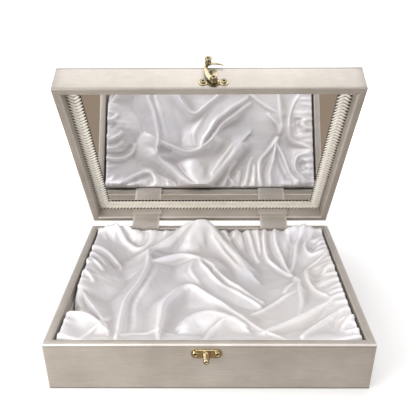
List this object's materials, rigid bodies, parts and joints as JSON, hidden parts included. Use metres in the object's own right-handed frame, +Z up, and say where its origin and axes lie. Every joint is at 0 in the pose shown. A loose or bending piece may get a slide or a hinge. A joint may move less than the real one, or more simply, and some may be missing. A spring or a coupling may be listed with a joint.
{
  "type": "keepsake box",
  "caption": "Rectangular leather-covered box with a hinged mirrored lid on straps, loose satin lining and a swing-hook clasp on the front.",
  "frame": {"origin": "middle of the base's underside", "axes": "+Z up, +X to the right seen from the front, +Y towards the strap hinges at the rear"},
  "size_m": [0.32, 0.2888, 0.2983],
  "materials": {
    "leather": "pearly champagne grain",
    "board": "raw fibreboard",
    "card": "plain grey card",
    "underside_paper": "dark textured paper",
    "wadding": "soft felted wadding",
    "satin": "white satin with a soft sheen",
    "mirror": "silvered",
    "braid": "cream woven gimp braid",
    "brass": "polished"
  },
  "bodies": {
    "base": {"base_bottom_board": "board", "base_front_board": "board", "base_front_leather": "leather", "base_left_board": "board", "base_left_leather": "leather", "base_padding": "wadding", "base_rear_board": "board", "base_rear_leather": "leather", "base_right_board": "board", "base_right_leather": "leather", "base_underside_cover": "underside_paper", "catch_plate": "brass", "catch_rivets": "brass", "catch_stud": "brass", "lining_front_card": "card", "lining_left_card": "card", "lining_rear_card": "card", "lining_right_card": "card", "satin_lining": "satin", "strap_hinge_left": "leather", "strap_hinge_right": "leather"},
    "lid": {"braid_front": "braid", "braid_left": "braid", "braid_rear": "braid", "braid_right": "braid", "clasp_pivot": "brass", "clasp_plate": "brass", "clasp_rivets": "brass", "lid_front_board": "board", "lid_front_leather": "leather", "lid_left_board": "board", "lid_left_leather": "leather", "lid_packing_board": "card", "lid_rear_board": "board", "lid_rear_leather": "leather", "lid_right_board": "board", "lid_right_leather": "leather", "lid_top_board": "board", "lid_top_leather": "leather", "mirror_backing_card": "card", "mirror_glass": "mirror", "strap_cover_left": "leather", "strap_cover_right": "leather"},
    "hook": {"clasp_hook": "brass", "clasp_knob": "brass"}
  },
  "joints": [
    {"name": "lid_hinge", "type": "hinge", "parent": "base", "child": "lid", "pos_m": [0, 0.1235, 0.0479], "axis": [-1, 0, 0], "range_deg": [-62.3, 32.7], "deforming": ["strap_hinge_left", "strap_hinge_right"]},
    {"name": "hook_pivot", "type": "hinge", "parent": "lid", "child": "hook", "pos_m": [0.0048, 0.02673, 0.26986], "axis": [0, 0.4648, -0.8854], "range_deg": [0, 200.36]}
  ]
}
